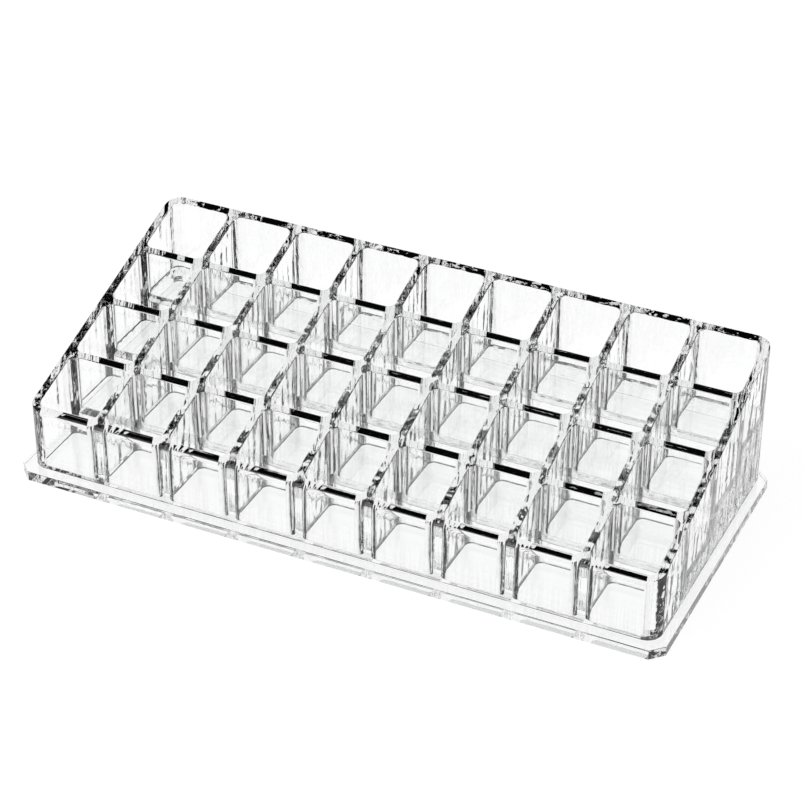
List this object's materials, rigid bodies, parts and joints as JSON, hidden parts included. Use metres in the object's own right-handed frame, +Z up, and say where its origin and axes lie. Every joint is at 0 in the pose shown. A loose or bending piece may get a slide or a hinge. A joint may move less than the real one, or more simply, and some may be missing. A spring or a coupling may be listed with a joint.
{
  "type": "lipstick organizer",
  "caption": "Clear wedge-shaped organizer: a sloping grid of square wells with floors that step up to the back, on a wider base plate, for upright lipstick tubes.",
  "frame": {"origin": "middle of the underside of the base plate, on the surface it stands on", "axes": "+X to the right along the long side, +Y to the high back wall, +Z up"},
  "size_m": [0.2306, 0.1062, 0.0565],
  "materials": {
    "clear_panel": "clear, polished faces and edges",
    "clear_floor": "clear, polished, faintly worn where tubes stand",
    "clear_plate": "clear, polished"
  },
  "bodies": {
    "root": {"base_plate": "clear_plate", "front_wall": "clear_panel", "back_wall": "clear_panel", "left_wall": "clear_panel", "right_wall": "clear_panel", "row_divider_1": "clear_panel", "row_divider_2": "clear_panel", "row_divider_3": "clear_panel", "column_divider_1": "clear_panel", "column_divider_2": "clear_panel", "column_divider_3": "clear_panel", "column_divider_4": "clear_panel", "column_divider_5": "clear_panel", "column_divider_6": "clear_panel", "column_divider_7": "clear_panel", "column_divider_8": "clear_panel", "well_floors_2": "clear_floor", "well_floors_3": "clear_floor", "well_floors_4": "clear_floor"}
  },
  "joints": []
}
